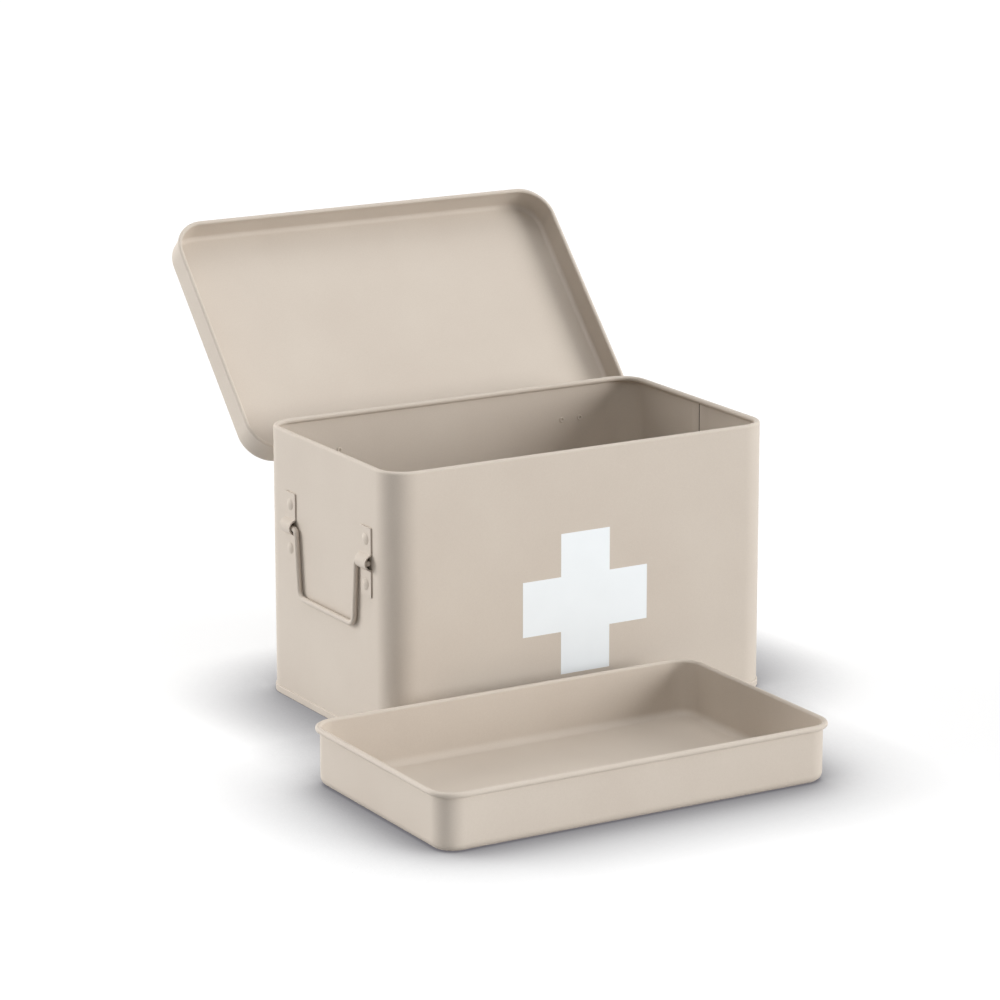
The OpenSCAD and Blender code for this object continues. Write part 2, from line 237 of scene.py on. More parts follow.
def carry_round(outline, profile):
    """Grid of an outline's points plus its outward directions times the profile's first
    column, at the height in the profile's second column."""
    points, out = outline
    flat = points[:, None] + out[:, None] * profile[None, :, :1]
    high = np.broadcast_to(profile[None, :, 1:], flat.shape[:2] + (1,))
    return np.concatenate([flat, high], -1)


def floor_rows(ring, steps):
    """Rows of a flat floor: a ring of points shrunk evenly towards its middle, down to none."""
    middle = ring.mean(0) * np.array([1, 1, 0]) + np.array([0, 0, ring[0, 2]])
    share = np.linspace(1, 0, steps + 1)[1:]
    return middle + (ring[:, None] - middle) * share[None, :, None]


body_outline = rounded_outline(BODY_W, BODY_D, CORNER)
print("outline of", len(body_outline[0]), "points")

# %% [markdown]
# ## Box wall
# The wall is one strip of 0.8 mm steel, wrapped into a ring and lapped on the right side. Its
# top is rolled inwards to a bead of 4.1 mm, which stiffens the mouth and hides the raw edge.
# The profile climbs the outer face, goes round the bead and comes down the inner face.

# %% Box wall
BEAD_STEPS = 26


def bead(cx, cz, radius, start=None):
    """Round rolled edge about (cx, cz), from where it leaves the sheet's outer face at x = 0
    over the top to where it meets the inner face at x = -SHEET, by the arc cosine of the
    distance to each face over the radius."""
    first = -math.degrees(math.acos(np.clip(-cx / radius, -1, 1))) if start is None else start
    last = 360 - math.degrees(math.acos(np.clip((-SHEET - cx) / radius, -1, 1)))
    return arc(cx, cz, radius, first, last, BEAD_STEPS)


wall_profile = held(np.concatenate([
    [(0.0, SHEET)],
    bead(-RIM, BODY_H - RIM, RIM),
    [(-SHEET, SHEET)],
]))
box_wall = skin("box_wall", carry_round(body_outline, wall_profile), close_profile=True)
print("box wall", len(box_wall.data.vertices), "points")

# %% [markdown]
# ## Lap seam
# Where the strip's ends meet inside the right wall, each is joggled: it steps up by 0.6 mm over
# a few millimetres. Between the two lies a narrow groove with painted shade on its floor,
# which shows as one dark upright line.
# The seam is a section carried straight up the wall. One half of the section is written down,
# and the other is its mirror image. Its back is sunk a little into the wall.

# %% Lap seam
LAP_EDGE = -2.5
LAP_GROOVE = 0.9
LAP_RISE = 0.6
LAP_SOFT = 0.2
LAP_ROOT = 0.3
FLAT, RAMP = 6.0, 5.0

half_groove = LAP_GROOVE / 2
lap_half = np.array([half_groove, half_groove, half_groove + LAP_SOFT, FLAT, FLAT + RAMP / 2,
                     FLAT + RAMP])
lap_height = LAP_RISE * np.array([0.02, 0.8, 1, 1, 0.5, 0])
lap_y = LAP_EDGE + np.concatenate([-lap_half[::-1], lap_half])
lap_x = np.concatenate([lap_height[::-1], lap_height])
inner_face = BODY_W / 2 - SHEET
lap_face = np.column_stack([inner_face - lap_x, lap_y])
lap_back = np.column_stack([np.full(len(lap_y), inner_face + LAP_ROOT), lap_y])[::-1]
lap_loop = np.concatenate([lap_face, lap_back])[::-1]
lap_z = np.array([SHEET, SHEET + 1, BODY_H / 2, BODY_H - 2 * RIM])
rows = (len(lap_loop), len(lap_z))
lap_grid = np.concatenate([np.broadcast_to(lap_loop[:, None], rows + (2,)),
                           np.broadcast_to(lap_z[None, :, None], rows + (1,))], -1)
lap_seam = skin("lap_seam", lap_grid)
print("lap seam from", SHEET, "to", lap_z[-1], "mm up")

# %% [markdown]
# ## Base
# The base is a flat panel whose edge is folded up round the foot of the wall. The fold stands
# 0.9 mm proud, and its rounded edges catch a thin line of light along the floor.
# The profile starts in the middle of the underside and ends in the middle of the inside.

# %% Base
FLOOR_STEPS = 8
LIP_STEPS = 8
BASE_INSET = 6.0


def shell(name, outline, profile):
    """Closed skin from a profile that starts and ends on a flat: each end is carried on to the
    middle of the outline, so the skin has one pole below and one above."""
    grid = carry_round(outline, profile)
    low = floor_rows(grid[:, 0], FLOOR_STEPS)[:, ::-1]
    high = floor_rows(grid[:, -1], FLOOR_STEPS)
    return skin(name, np.concatenate([low, grid, high], 1), pole_start=True, pole_end=True)


base_profile = held(np.concatenate([
    [(-BASE_INSET, 0.0)],
    arc(0.0, BASE_LIP, BASE_LIP, -90, 0, LIP_STEPS),
    arc(0.0, BASE_LIP_HEIGHT - BASE_LIP, BASE_LIP, 0, 90, LIP_STEPS),
    [(0.0, SHEET), (-BASE_INSET, SHEET)],
]))
base = shell("base_pan", body_outline, base_profile)
print("base", len(base.data.vertices), "points")

# %% [markdown]
# ## Pans
# The lid and the tray are the same kind of thing: a blank drawn over a die into a shallow pan
# with a rounded bottom edge, then curled along its rim. One function gives both. The tray's
# curl turns outwards and its underside runs into the wall with a small fillet, while the
# lid's smaller curl stands both inside and outside its skirt.

# %% Pan profile
EDGE_STEPS, NECK_STEPS = 12, 8
PAN_INSET = 5.0


def pan_profile(height, edge, curl, curl_x, fillet=0.0):
    """From the underside, round the drawn edge, up the wall, round the curl and back down
    inside. With a fillet, an arc touches both the wall and the curl: its centre lies a fillet
    out from the wall and a curl plus a fillet away from the curl's centre."""
    curl_z = height - curl
    under = np.array([(-edge - PAN_INSET, 0.0)])
    outer = arc(-edge, edge, edge, -90, 0, EDGE_STEPS)
    start = None
    neck = np.zeros((0, 2))
    if fillet:
        drop = math.sqrt((curl + fillet) ** 2 - (curl_x - fillet) ** 2)
        lean = math.degrees(math.atan2(drop, curl_x - fillet))
        neck = arc(fillet, curl_z - drop, fillet, 180, lean, NECK_STEPS)
        start = lean - 180
    inner = arc(-edge, edge, edge - SHEET, 0, -90, EDGE_STEPS)
    return held(np.concatenate([under, outer, neck, bead(curl_x, curl_z, curl, start),
                                inner, [(-edge - PAN_INSET, SHEET)]]))


tray_outline = rounded_outline(TRAY_W, TRAY_D, TRAY_CORNER)
tray_outline = (tray_outline[0] + tray_centre[:2], tray_outline[1])
tray_pan = shell("tray_pan", tray_outline,
                 pan_profile(TRAY_H, TRAY_EDGE, TRAY_RIM, TRAY_RIM - SHEET, TRAY_FILLET))
print("tray", len(tray_pan.data.vertices), "points")

# %% [markdown]
# ## Lid
# The lid is made as a pan, standing on its panel, then turned over on to the box and swung
# open about the hinge pins. Both moves are plain rotations of the array of points: y and z
# are mixed by the sine and cosine of the angle.

# %% Lid
SKIRT_W = BODY_W + 2 * (LID_GAP + SHEET)
SKIRT_D = BODY_D + 2 * (LID_GAP + SHEET)
SKIRT_CORNER = CORNER + LID_GAP
pin_low, pin_high = node_box("hinge_left_pin")
PIVOT = (pin_low + pin_high)[1:] / 2
PIVOT_DROP = 1.4
LID_TOP = PIVOT[1] + PIVOT_DROP + LID_DEPTH


def turn_x(points, degrees, pivot=(0.0, 0.0)):
    """Points turned about a line along X through the pivot's y and z."""
    c, s = math.cos(math.radians(degrees)), math.sin(math.radians(degrees))
    y, z = points[..., 1] - pivot[0], points[..., 2] - pivot[1]
    return np.stack([points[..., 0], pivot[0] + c * y - s * z, pivot[1] + s * y + c * z], -1)


def move_mesh(piece, change):
    """Runs a function on a piece's points, in mm."""
    co = np.empty(3 * len(piece.data.vertices), np.float32)
    piece.data.vertices.foreach_get("co", co)
    co = change(co.reshape(-1, 3).astype(float) / MM) * MM
    piece.data.vertices.foreach_set("co", co.astype(np.float32).ravel())
    piece.data.update()


lid = shell("lid_pan_skin", rounded_outline(SKIRT_W, SKIRT_D, SKIRT_CORNER),
            pan_profile(LID_DEPTH, LID_EDGE, LID_CURL, LID_CURL_PROUD - LID_CURL))
move_mesh(lid, lambda p: turn_x(turn_x(p, 180) + (0, 0, LID_TOP), -OPEN_ANGLE, PIVOT))
lid_low, lid_high = node_box("lid_pan")
points = np.array([v.co for v in lid.data.vertices]) / MM
print("lid differs from its CAD box by", np.round(points.min(0) - lid_low, 2),
      np.round(points.max(0) - lid_high, 2), "mm")

# %% [markdown]
# ## Wire bails
# Each bail is 4 mm wire, bent in one plane: a level grip, two arms that lean in a little on
# their way down, and two ends turned outwards into the brackets. The centre line is a run of
# straights joined by arcs, and a circle is carried along it. The ends are sheared and slightly
# rounded, so the circle shrinks over the last stretch.

# %% Wire along a bent path
WIRE = 4.0
RING = 28
BEND_STEPS = 12
NOSE_STEPS = 4


def bent_path(corners, bends, step=1.2):
    """Centre line through the corners, rounded at each inner one by an arc of its bend radius.
    The arc starts a tangent length, bend times the tangent of half the turn, before the
    corner, and ends as far after it."""
    corners = np.asarray(corners, float)
    pieces, last = [], corners[0]
    for before, corner, after, bend in zip(corners, corners[1:], corners[2:], bends):
        a = (corner - before) / np.linalg.norm(corner - before)
        b = (after - corner) / np.linalg.norm(after - corner)
        turn = math.acos(np.clip(a @ b, -1, 1))
        reach = bend * math.tan(turn / 2)
        first = corner - a * reach
        centre = first + bend * (b - (a @ b) * a) / math.sin(turn)
        sweep = np.linspace(0, turn, BEND_STEPS + 1)[:, None]
        pieces.append(np.linspace(last, first, max(3, int(np.linalg.norm(first - last) / step))))
        pieces.append((centre + bend * (-np.cos(sweep) * (centre - first) / bend
                                        + np.sin(sweep) * a))[1:])
        last = pieces[-1][-1]
    pieces.append(np.linspace(last, corners[-1], max(3, int(
        np.linalg.norm(corners[-1] - last) / step)))[1:])
    return np.concatenate(pieces)


def carry_along(name, path, side, section, nose=0.0):
    """A closed section carried along a path that lies in a plane. At each point the section's
    x runs along the plane's normal, and its y along the direction crossed with that normal.
    The section shrinks to a point at both ends, round an edge of the nose's size."""
    ahead = np.gradient(path, axis=0)
    ahead /= np.linalg.norm(ahead, axis=1, keepdims=True)
    rise = np.cross(ahead, side)
    size = np.abs(section).max()
    a = np.linspace(0, math.pi / 2, NOSE_STEPS + 1)
    shrink = np.concatenate([[0], 1 - nose / size * (1 - np.sin(a))])
    reach = np.concatenate([[0], nose * (1 - np.cos(a))])
    start = path[0] + ahead[0] * reach[:, None]
    end = path[-1] - ahead[-1] * reach[::-1, None]
    line = np.concatenate([start, path[1:-1], end])
    ends = len(shrink)
    rise = np.concatenate([np.repeat(rise[:1], ends, 0), rise[1:-1],
                           np.repeat(rise[-1:], ends, 0)])
    scale = np.concatenate([shrink, np.ones(len(path) - 2), shrink[::-1]])
    grid = (line[None] + scale[None, :, None] * (section[:, None, :1] * np.asarray(side)
                                                 + section[:, None, 1:] * rise[None]))
    return skin(name, grid, pole_start=True, pole_end=True)


def circle(radius, count=RING):
    """Evenly spaced points of a circle, anticlockwise."""
    a = np.arange(count) * 2 * math.pi / count
    return radius * np.column_stack([np.cos(a), np.sin(a)])


print("wire of", WIRE, "mm with", RING, "points round it")

# %% [markdown]
# ## The bails' bends
# The corners follow from the CAD node's box: its height gives the two levels, its depth gives
# the ends, and the arms' lean of 5 degrees gives the grip's width. The wire is drawn a
# hundredth of a millimetre thin, so that it stays inside the box of its CAD node.

# %% Bails
SPLAY = math.radians(5)
TOP_BEND, GRIP_BEND = 4.0, 7.0
ENTRY_Y = 49.4
WIRE_ROOM, WIRE_NOSE = 0.01, 0.5


def bail_path(node):
    """The bail's centre line in the plane of its node, from its rear end to its front end. The
    arms lean in by the splay, so the grip's corners lie the drop times its tangent nearer."""
    low, high = node_box(node)
    middle = (low + high) / 2
    half = (high[1] - low[1]) / 2
    top, grip = high[2] - WIRE / 2, low[2] + WIRE / 2
    corner_y = ENTRY_Y - TOP_BEND * math.tan((math.pi / 2 - SPLAY) / 2)
    lean = (top - grip) * math.tan(SPLAY)
    y = np.array([half, corner_y, corner_y - lean])
    y = np.concatenate([y, -y[::-1]]) + middle[1]
    z = np.array([top, top, grip, grip, top, top])
    return bent_path(np.column_stack([np.full(6, middle[0]), y, z]),
                     [TOP_BEND, GRIP_BEND, GRIP_BEND, TOP_BEND])


bails = {}
for hand in ("left", "right"):
    bails[hand] = carry_along("wire_bail_" + hand, bail_path("bail_" + hand), (1.0, 0.0, 0.0),
                              circle(WIRE / 2 - WIRE_ROOM), nose=WIRE_NOSE)
    print("bail", hand, len(bails[hand].data.vertices), "points")

# %% [markdown]
# ## Brackets
# A bracket is a strap of 1.1 mm steel with a half-round tunnel pressed across its middle. The
# strap's own section, a flat bar with softened edges, is carried along its centre line: up
# the wall, out over the tunnel through two small fillets, and up the wall again.

# %% Brackets
BRACKET_W, BRACKET_H, BRACKET_T = 15.5, 51.0, 1.1
TUNNEL = 4.9 + BRACKET_T / 2
TUNNEL_FILLET = 1.6
STRAP_SOFT = 0.3
STRAIGHT_POINTS, TUNNEL_STEPS = 12, 24


def strap_path():
    """Half of the centre line as distance from the wall and height from the tunnel's middle,
    then mirrored. The fillet touches the flat and the tunnel, so its centre's height is the
    root of the sum of their radii squared less its distance from the wall squared."""
    flat = BRACKET_T / 2
    out = flat + TUNNEL_FILLET
    high = math.sqrt((TUNNEL + TUNNEL_FILLET) ** 2 - out ** 2)
    lean = math.degrees(math.atan2(high, out))
    level = np.linspace(-BRACKET_H / 2, -high - STRAP_SOFT, STRAIGHT_POINTS)
    straight = np.column_stack([np.full(STRAIGHT_POINTS, flat), level])
    fillet = arc(out, -high, TUNNEL_FILLET, 180, 180 - lean, NECK_STEPS)
    round_part = arc(0.0, 0.0, TUNNEL, -lean, lean, TUNNEL_STEPS)
    lower = np.concatenate([straight, fillet])
    upper = lower[::-1] * (1, -1)
    return np.concatenate([lower, round_part[1:-1], upper])


def strap_section():
    """Flat bar with softened edges, anticlockwise."""
    points, _ = rounded_outline(BRACKET_W, BRACKET_T, STRAP_SOFT)
    return points


strap = strap_path()
brackets = {}
for hand, side in (("left", -1), ("right", 1)):
    for end in ("front", "rear"):
        low, high = node_box("bracket_%s_%s" % (hand, end))
        middle = (low + high) / 2
        line = np.column_stack([side * (BODY_W / 2 + strap[:, 0]), np.full(len(strap), middle[1]),
                                middle[2] + strap[:, 1]])
        piece = carry_along("strap_%s_%s" % (hand, end), line, (0.0, 1.0, 0.0), strap_section(),
                            nose=STRAP_SOFT)
        brackets[hand, end] = piece
print("brackets", len(brackets), "of", len(piece.data.vertices), "points")

# %% [markdown]
# ## Rivets
# Tubular rivets hold the brackets and hinges: a low dome outside and a small rolled eyelet
# inside the sheet. Both are turned shapes, so a profile of radius against depth is carried
# round an axis. The dome is a cap of a ball: its radius is the sum of the head's radius
# squared and its height squared, over twice the height.

# %% Rivets
DOME_EDGE, DOME_STEPS = 0.12, 8
RING_OUT, RING_IN, RING_THICK, RING_FLAT = 1.55, 0.62, 0.5, 0.75
RING_SINK = 0.35
RING_START, RING_END, RING_STEPS = 20, -200, 14
BORE_TAPER, BORE_FLOOR = 0.96, 0.5
RIVETS_EACH = 4
MERGE_ROUNDS = 400


def dome(radius, height):
    """Profile of a cap of a ball, from its top down to a short upright edge."""
    ball = (radius ** 2 + height ** 2) / (2 * height)
    r = radius * np.sin(np.linspace(0, math.pi / 2, DOME_STEPS + 1))
    r[-1] = radius
    z = height - ball + np.sqrt(np.maximum(ball ** 2 - r ** 2, 0)) + DOME_EDGE
    return np.concatenate([np.column_stack([r, z]), [(radius, 0.0)]])


def eyelet(shank, grip):
    """Profile of the shank and its rolled ring inside the sheet, ending in the bore's floor.
    The ring's sizes are shares of the shank's radius, and its arc is flattened in height."""
    ring_r, bore = RING_OUT * shank, RING_IN * shank
    middle = -grip - RING_THICK * shank * RING_SINK
    ring = arc((ring_r + bore) / 2, middle, (ring_r - bore) / 2, RING_START, RING_END,
               RING_STEPS)
    ring[:, 1] = middle + (ring[:, 1] - middle) * RING_FLAT
    floor_z = -grip + BORE_FLOOR
    return np.concatenate([[(shank, 0.0), (shank, -grip)], ring,
                           [(bore * BORE_TAPER, floor_z), (0.0, floor_z)]])


def turned(name, profile, centre, axis, count=36):
    """Profile of radius and height turned about an axis from the centre: the ring's two
    directions are any pair at right angles to the axis and to each other."""
    axis = np.asarray(axis, float) / np.linalg.norm(axis)
    u = np.array([1.0, 0, 0]) if abs(axis[0]) < 0.9 else np.array([0, 1.0, 0])
    v = np.cross(axis, u)
    u = np.cross(v, axis)
    ring = circle(1.0, count)
    around = ring[:, :1] * u / np.linalg.norm(u) + ring[:, 1:] * v / np.linalg.norm(v)
    grid = (np.asarray(centre) + around[:, None] * profile[None, :, :1]
            + axis * profile[None, :, 1:])
    return skin(name, grid[:, ::-1], pole_start=True, pole_end=True)


def rivet_centres(node):
    """Middles of a rivet group's separate solids. Every point starts with a label of its own.
    Round by round, points at the same place and points joined by an edge take the lowest of
    their labels, until each solid has one label."""
    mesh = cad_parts[node].data
    co = np.array([v.co for v in mesh.vertices]) / MM
    label = np.arange(len(co))
    keys = np.unique(np.round(co, 4), axis=0, return_inverse=True)[1].ravel()
    edges = np.array([e.vertices[:] for e in mesh.edges])
    for _ in range(MERGE_ROUNDS):
        old = label.copy()
        least = np.full(keys.max() + 1, len(co))
        np.minimum.at(least, keys, label)
        label = least[keys]
        low = np.minimum(label[edges[:, 0]], label[edges[:, 1]])
        np.minimum.at(label, edges[:, 0], low)
        np.minimum.at(label, edges[:, 1], low)
        if (old == label).all():
            break
    groups = [co[label == k] for k in np.unique(label)]
    assert len(groups) == RIVETS_EACH, (node, len(groups))
    return [(g.min(0) + g.max(0)) / 2 for g in groups]


BRACKET_RIVET, BRACKET_HEAD, BRACKET_HEAD_H = 2.0, 4.4, 1.3
HINGE_RIVET, HINGE_HEAD, HINGE_HEAD_H = 1.4, 2.66, 0.9
LEAF = 0.8


def rivet_group(name, node, head, shank, grip, plane, axis):
    """All rivets of one CAD node, each with its head's foot on the plane that the head sits
    on: the plane is the distance from the origin along the axis."""
    profile = np.concatenate([dome(*head), eyelet(shank, grip)])
    axis = np.asarray(axis, float)
    made = []
    for k, middle in enumerate(rivet_centres(node)):
        foot = middle + axis * (plane - middle @ axis)
        made.append(turned("%s_%d" % (name, k), profile, foot, axis))
    return join(name, made)


opened = math.radians(-OPEN_ANGLE)
lid_back = np.array([0, math.cos(opened), math.sin(opened)])
skirt_back = turn_x(np.array([0, SKIRT_D / 2, PIVOT[1]]), -OPEN_ANGLE, PIVOT) @ lid_back
rivets = {
    "bracket_left": rivet_group("dome_rivets_left", "bracket_left_rivets",
                                (BRACKET_HEAD, BRACKET_HEAD_H), BRACKET_RIVET,
                                BRACKET_T + SHEET, BODY_W / 2 + BRACKET_T, (-1, 0, 0)),
    "bracket_right": rivet_group("dome_rivets_right", "bracket_right_rivets",
                                 (BRACKET_HEAD, BRACKET_HEAD_H), BRACKET_RIVET,
                                 BRACKET_T + SHEET, BODY_W / 2 + BRACKET_T, (1, 0, 0)),
    "hinge_body": rivet_group("dome_rivets_hinge_body", "hinge_body_rivets",
                              (HINGE_HEAD, HINGE_HEAD_H), HINGE_RIVET, LEAF + SHEET,
                              BODY_D / 2 + LEAF, (0, 1, 0)),
    "hinge_lid": rivet_group("dome_rivets_hinge_lid", "hinge_lid_rivets",
                             (HINGE_HEAD, HINGE_HEAD_H), HINGE_RIVET, LEAF + SHEET,
                             skirt_back, lid_back),
}
print("rivet groups", {k: len(v.data.vertices) for k, v in rivets.items()})

# %% [markdown]
# ## Finishes
# Three finishes cover the whole object, and all are built from shader nodes. Colours are
# written as the sRGB hex values that a picture shows, and one function turns them to the
# linear values that Blender works in: a value above 0.04045 is shifted, scaled and raised to
# the power 2.4. One small function adds a node, sets it up and links it.

# %% Colour and node helpers


def colour(code):
    """Linear RGBA of an sRGB hex colour."""
    v = np.array([int(code[i:i + 2], 16) for i in (1, 3, 5)]) / 255
    return tuple(np.where(v > 0.04045, ((v + 0.055) / 1.055) ** 2.4, v / 12.92)) + (1.0,)


def add(tree, kind, settings=None, **inputs):
    """Adds a node. Settings are its properties, and inputs are its sockets by name, with an
    underscore for a space: a value is set, and an output of another node is linked."""
    made = tree.nodes.new(kind)
    for key, value in (settings or {}).items():
        setattr(made, key, value)
    for key, value in inputs.items():
        socket = made.inputs[int(key[1:]) if key[1:].isdigit() else key.replace("_", " ")]
        if isinstance(value, bpy.types.NodeSocket):
            tree.links.new(value, socket)
        else:
            socket.default_value = value
    return made


def blank(name):
    """New material with an empty node tree."""
    made = bpy.data.materials.new(name)
    made.use_nodes = True
    made.node_tree.nodes.clear()
    return made


print("beige turns to", np.round(colour("#CBC1B5"), 3))

# %% [markdown]
# ## Powder coat
# Powder is sprayed on dry and baked, and it flows into a film with a soft satin gloss and a
# faint orange-peel surface, with swells about 1.5 mm across. Up close the beige is made of
# slightly different grains, and over a hand's width it drifts a little lighter and darker.
# Noise textures on object coordinates give all three, with scales worked out from those
# sizes: a noise's scale is one over the size of its swells.

# %% Powder coat
PEEL_MM, GRAIN_MM, DRIFT_MM = 1.5, 0.9, 60.0
PEEL_HEIGHT = 0.00006
GRAIN_SHARE = 0.45
NOISE_LOW, NOISE_HIGH = 0.3, 0.7
COAT_IOR = 1.5


def powder_coat(name, pale, deep, roughness, peel):
    """Satin powder coat on steel: two close colours mixed by drift and grain, and a bump."""
    material = blank(name)
    tree = material.node_tree
    where = add(tree, "ShaderNodeTexCoord").outputs["Object"]
    drift = add(tree, "ShaderNodeTexNoise", Vector=where, Scale=1000 / DRIFT_MM, Detail=2.0)
    grain = add(tree, "ShaderNodeTexNoise", Vector=where, Scale=1000 / GRAIN_MM, Detail=1.0)
    both = add(tree, "ShaderNodeMix", {"data_type": "FLOAT"}, Factor=GRAIN_SHARE,
               A=drift.outputs["Fac"], B=grain.outputs["Fac"])
    share = add(tree, "ShaderNodeMapRange", Value=both.outputs["Result"],
                From_Min=NOISE_LOW, From_Max=NOISE_HIGH)
    tint = add(tree, "ShaderNodeMix", {"data_type": "RGBA"}, Factor=share.outputs["Result"])
    tint.inputs[6].default_value = colour(deep)
    tint.inputs[7].default_value = colour(pale)
    swell = add(tree, "ShaderNodeTexNoise", Vector=where, Scale=1000 / PEEL_MM, Detail=1.5)
    bump = add(tree, "ShaderNodeBump", Strength=peel, Distance=PEEL_HEIGHT,
               Height=swell.outputs["Fac"])
    satin = add(tree, "ShaderNodeBsdfPrincipled", Base_Color=tint.outputs[2],
                Roughness=roughness, IOR=COAT_IOR, Normal=bump.outputs["Normal"])
    add(tree, "ShaderNodeOutputMaterial", Surface=satin.outputs["BSDF"])
    return material


coat = powder_coat("satin_powder_coat_on_steel_sheet", "#CBC1B5", "#C5BAAE", 0.5, 0.35)
wire_coat = powder_coat("satin_powder_coat_on_steel_wire", "#C9BFB3", "#C3B8AC", 0.42, 0.3)
print("powder coats", coat.name, wire_coat.name)

# %% [markdown]
# ## White enamel
# The cross is a thin film of white enamel printed over the coat. It is smoother than the
# powder, so it has a little more gloss, and the coat's orange peel shows through it faintly.

# %% White enamel
CLOUD_MM = 25.0
ENAMEL_PEEL, ENAMEL_ROUGHNESS = 0.12, 0.35


def enamel_film(name, pale, deep):
    """Printed white enamel: nearly even colour, low bump and moderate gloss."""
    material = blank(name)
    tree = material.node_tree
    where = add(tree, "ShaderNodeTexCoord").outputs["Object"]
    cloud = add(tree, "ShaderNodeTexNoise", Vector=where, Scale=1000 / CLOUD_MM, Detail=3.0)
    tint = add(tree, "ShaderNodeMix", {"data_type": "RGBA"}, Factor=cloud.outputs["Fac"])
    tint.inputs[6].default_value = colour(deep)
    tint.inputs[7].default_value = colour(pale)
    swell = add(tree, "ShaderNodeTexNoise", Vector=where, Scale=1000 / PEEL_MM, Detail=1.0)
    bump = add(tree, "ShaderNodeBump", Strength=ENAMEL_PEEL, Distance=PEEL_HEIGHT,
               Height=swell.outputs["Fac"])
    film = add(tree, "ShaderNodeBsdfPrincipled", Base_Color=tint.outputs[2],
               Roughness=ENAMEL_ROUGHNESS, IOR=COAT_IOR, Normal=bump.outputs["Normal"])
    add(tree, "ShaderNodeOutputMaterial", Surface=film.outputs["BSDF"])
    return material


enamel = enamel_film("printed_white_enamel_film", "#EFF4F7", "#EAEFF2")
print("enamel", enamel.name)

# %% [markdown]
# ## Painted shade in the lap seam
# The bottom of the lap seam's groove is painted a dark grey, as painted shade for the narrow
# crevice.

# %% Painted shade in the lap seam
# Dark grey with some metallic gloss, painted on the groove's floor as painted shade for the
# crevice.
painted_seam_shade = blank("painted_shade_in_the_lap_seam")
tree = painted_seam_shade.node_tree
steel = add(tree, "ShaderNodeBsdfPrincipled", Base_Color=colour("#3B3430"), Metallic=0.6,
            Roughness=0.6)
add(tree, "ShaderNodeOutputMaterial", Surface=steel.outputs["BSDF"])
print("painted seam shade", painted_seam_shade.name)

# %% [markdown]
# ## Put it together
# Every new piece rides on the body it belongs to, takes the place of its CAD node and wears its
# finish. The hinge leaves, pins and the cross keep their CAD meshes and only get the finishes.
# The faces at the bottom of the lap seam's groove get the dark grey of the painted shade.

# %% Dress the frame


def dress(piece, body, slot, material, *nodes):
    """Material, body, slot (not used) and the CAD nodes that the piece stands for."""
    piece.data.materials.clear()
    piece.data.materials.append(material)
    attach(piece, body)
    if nodes:
        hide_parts(*nodes)


wall = join("box_wall", [box_wall, lap_seam])
dress(wall, "box", "coat", coat, "body_wall")
# Second slot: the painted shade, which goes on the faces at the bottom of the groove below.
wall.data.materials.append(painted_seam_shade)
groove_faces = 0
for face in wall.data.polygons:
    x, y, z = np.array(face.center) / MM
    deep = inner_face - LAP_RISE / 2 < x < inner_face
    if deep and abs(y - LAP_EDGE) < half_groove + LAP_SOFT / 2 and SHEET < z < lap_z[-1]:
        face.material_index = 1
        groove_faces += 1
print("groove faces", groove_faces)
dress(base, "box", "coat", coat, "base_panel")
dress(lid, "lid", "coat", coat, "lid_pan")
dress(tray_pan, "tray", "tray_coat", coat, "tray")
for hand, piece in bails.items():
    dress(piece, "handle_" + hand, "wire", wire_coat, "bail_" + hand)
for (hand, end), piece in brackets.items():
    dress(piece, "box", "coat", coat, "bracket_%s_%s" % (hand, end))
dress(rivets["bracket_left"], "box", "coat", coat, "bracket_left_rivets")
dress(rivets["bracket_right"], "box", "coat", coat, "bracket_right_rivets")
dress(rivets["hinge_body"], "box", "coat", coat, "hinge_body_rivets")
dress(rivets["hinge_lid"], "lid", "coat", coat, "hinge_lid_rivets")

for name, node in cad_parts.items():
    finish = enamel if name == "enamel_cross" else coat
    for k in range(max(1, len(node.material_slots))):
        if node.material_slots:
            node.material_slots[k].material = finish
        else:
            node.data.materials.append(finish)

# %% [markdown]
# ## Floor and light
# The object stands on a pale floor under five wide suns. The two strongest come in low, from
# behind on the left and from the front right. Each lights one side of the box and passes the
# front left corner by, which so reads as a dark upright band. The other three light the lid,
# the tray and the inside from above. The low suns are left out of mirror reflections, so that
# the closed lid's top shows no glare.

# %% Light
# name, azimuth (0 = front, 90 = right), elevation, angle, strength
SUNS = [
    ("left_rear_softbox", -137.0, 16.0, 36.0, 2.95),
    ("front_right_softbox", 42.0, 13.0, 34.0, 2.8),
    ("front_top_softbox", 0.0, 52.0, 50.0, 0.45),
    ("top_softbox", 180.0, 82.0, 45.0, 1.05),
    ("left_top_softbox", -70.0, 55.0, 45.0, 0.4),
]
SKY = 0.06
LOW_SUN = 30.0


def sun(name, azimuth, elevation, angle, strength):
    """Wide sun that shines towards the origin. Its x is the sine of the azimuth and its y less
    the cosine, both times the cosine of the elevation, and its z is the elevation's sine."""
    data = bpy.data.lights.new(name, "SUN")
    data.energy, data.angle = strength, math.radians(angle)
    lamp = bpy.data.objects.new(name, data)
    lamp.visible_glossy = elevation > LOW_SUN
    bpy.context.scene.collection.objects.link(lamp)
    a, e = math.radians(azimuth), math.radians(elevation)
    source = Vector((math.sin(a) * math.cos(e), -math.cos(a) * math.cos(e), math.sin(e)))
    lamp.rotation_euler = source.to_track_quat("Z", "Y").to_euler()
    return lamp


for row in SUNS:
    sun(*row)
print("suns", [row[0] for row in SUNS], "sky", SKY)

# %% [markdown]
# ## Floor and backdrop
# For the light that it throws back on the object, the floor is a plain pale diffuse surface.
# Seen directly it is part glow and part lit paper: the paper's brightness is worked out from
# the light on an open floor, the sum of each sun's strength times the sine of its elevation,
# over pi, and it reads as white from four fifths of that. Near the object the share of open
# sky falls from 1 to about a half at its foot. That share, raised to a power, fades the floor
# to a cool grey, which is the soft contact shadow.

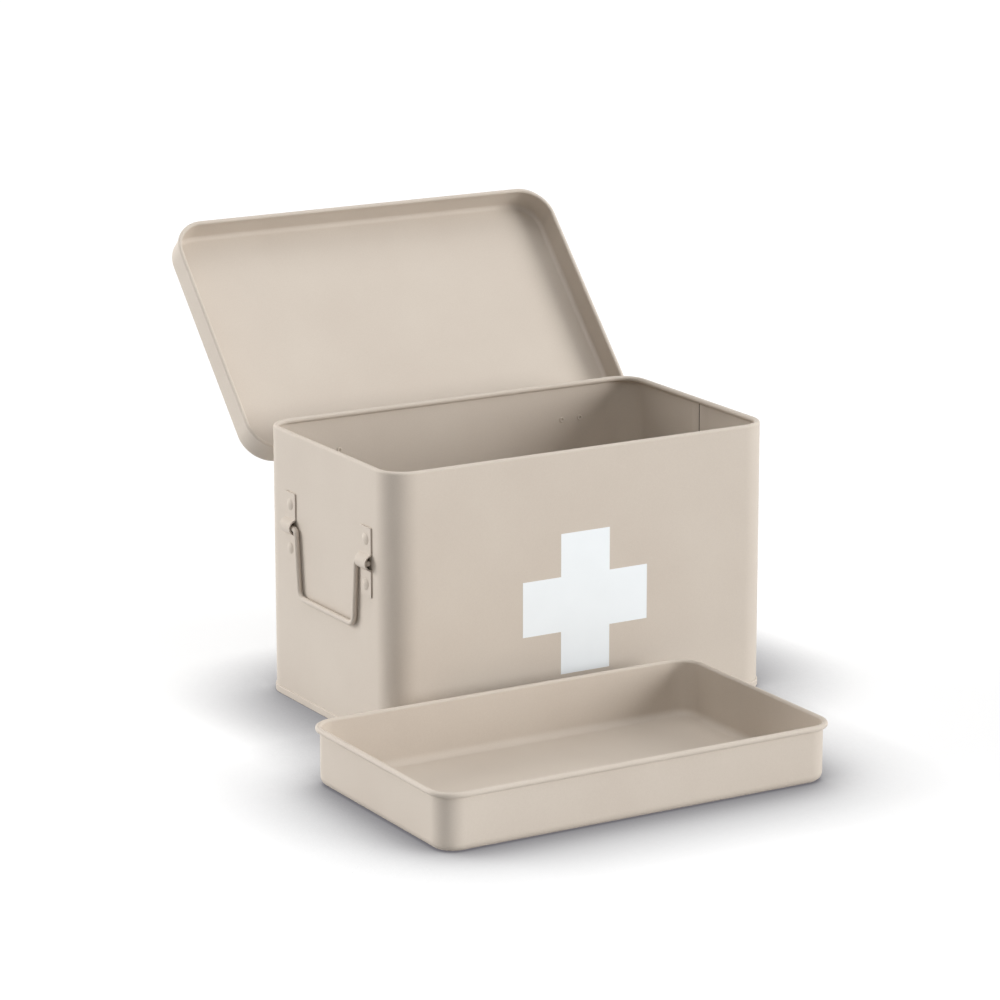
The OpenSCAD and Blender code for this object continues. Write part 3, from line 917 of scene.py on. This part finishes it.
# %% Floor and backdrop
FLOOR_ALBEDO = 0.65
FLOOR_HALF = 30.0
SHADOW_SHARE = 0.3
WHITE_AT = 0.8
CONTACT_MM, CONTACT_POWER, CONTACT_TONE = 95.0, 2.4, "#6E6C71"
CONTACT_SAMPLES = 16


def seen_directly(tree):
    """1 for rays from the camera, a mirror or glass, and 0 for those that light other things."""
    path = add(tree, "ShaderNodeLightPath")
    mirror = add(tree, "ShaderNodeMath", {"operation": "MAXIMUM"},
                 _0=path.outputs["Is Camera Ray"], _1=path.outputs["Is Glossy Ray"])
    return add(tree, "ShaderNodeMath", {"operation": "MAXIMUM"},
               _0=mirror.outputs[0], _1=path.outputs["Is Transmission Ray"]).outputs[0]


open_light = SKY + sum(strength * math.sin(math.radians(elevation))
                       for _, _, elevation, _, strength in SUNS) / math.pi
glow = 1.0 - SHADOW_SHARE
floor_material = blank("pale_seamless_paper")
tree = floor_material.node_tree
lit = add(tree, "ShaderNodeBsdfDiffuse", Color=(FLOOR_ALBEDO,) * 3 + (1.0,))
shown = add(tree, "ShaderNodeBsdfDiffuse",
            Color=(SHADOW_SHARE / (open_light * WHITE_AT),) * 3 + (1.0,))
shine = add(tree, "ShaderNodeEmission", Color=(1.0, 1.0, 1.0, 1.0), Strength=glow)
bare = add(tree, "ShaderNodeAddShader", _0=shown.outputs[0], _1=shine.outputs[0])
sky_share = add(tree, "ShaderNodeAmbientOcclusion", {"samples": CONTACT_SAMPLES},
                Distance=CONTACT_MM * MM)
contact = add(tree, "ShaderNodeMath", {"operation": "POWER"}, _0=sky_share.outputs["AO"],
              _1=CONTACT_POWER)
dusk = add(tree, "ShaderNodeEmission", Color=colour(CONTACT_TONE), Strength=1.0)
direct = add(tree, "ShaderNodeMixShader", _0=contact.outputs[0], _1=dusk.outputs[0],
             _2=bare.outputs[0])
mixed = add(tree, "ShaderNodeMixShader", _0=seen_directly(tree), _1=lit.outputs[0],
            _2=direct.outputs[0])
add(tree, "ShaderNodeOutputMaterial", Surface=mixed.outputs[0])

floor_mesh = bpy.data.meshes.new("paper_floor")
floor_mesh.from_pydata([(FLOOR_HALF * x, FLOOR_HALF * y, 0)
                        for x, y in ((-1, -1), (1, -1), (1, 1), (-1, 1))], [], [(0, 1, 2, 3)])
floor = bpy.data.objects.new("paper_floor", floor_mesh)
bpy.context.scene.collection.objects.link(floor)
floor.data.materials.append(floor_material)

world = bpy.data.worlds.new("soft_room")
bpy.context.scene.world = world
world.use_nodes = True
tree = world.node_tree
tree.nodes.clear()
room = add(tree, "ShaderNodeBackground", Color=(1.0, 1.0, 1.0, 1.0), Strength=SKY)
white = add(tree, "ShaderNodeBackground", Color=(1.0, 1.0, 1.0, 1.0), Strength=1.0)
mixed = add(tree, "ShaderNodeMixShader", _0=seen_directly(tree), _1=room.outputs[0],
            _2=white.outputs[0])
add(tree, "ShaderNodeOutputWorld", Surface=mixed.outputs[0])
bpy.context.scene.view_settings.view_transform = "Standard"
print("floor reads white at an open light of", round(open_light, 3))
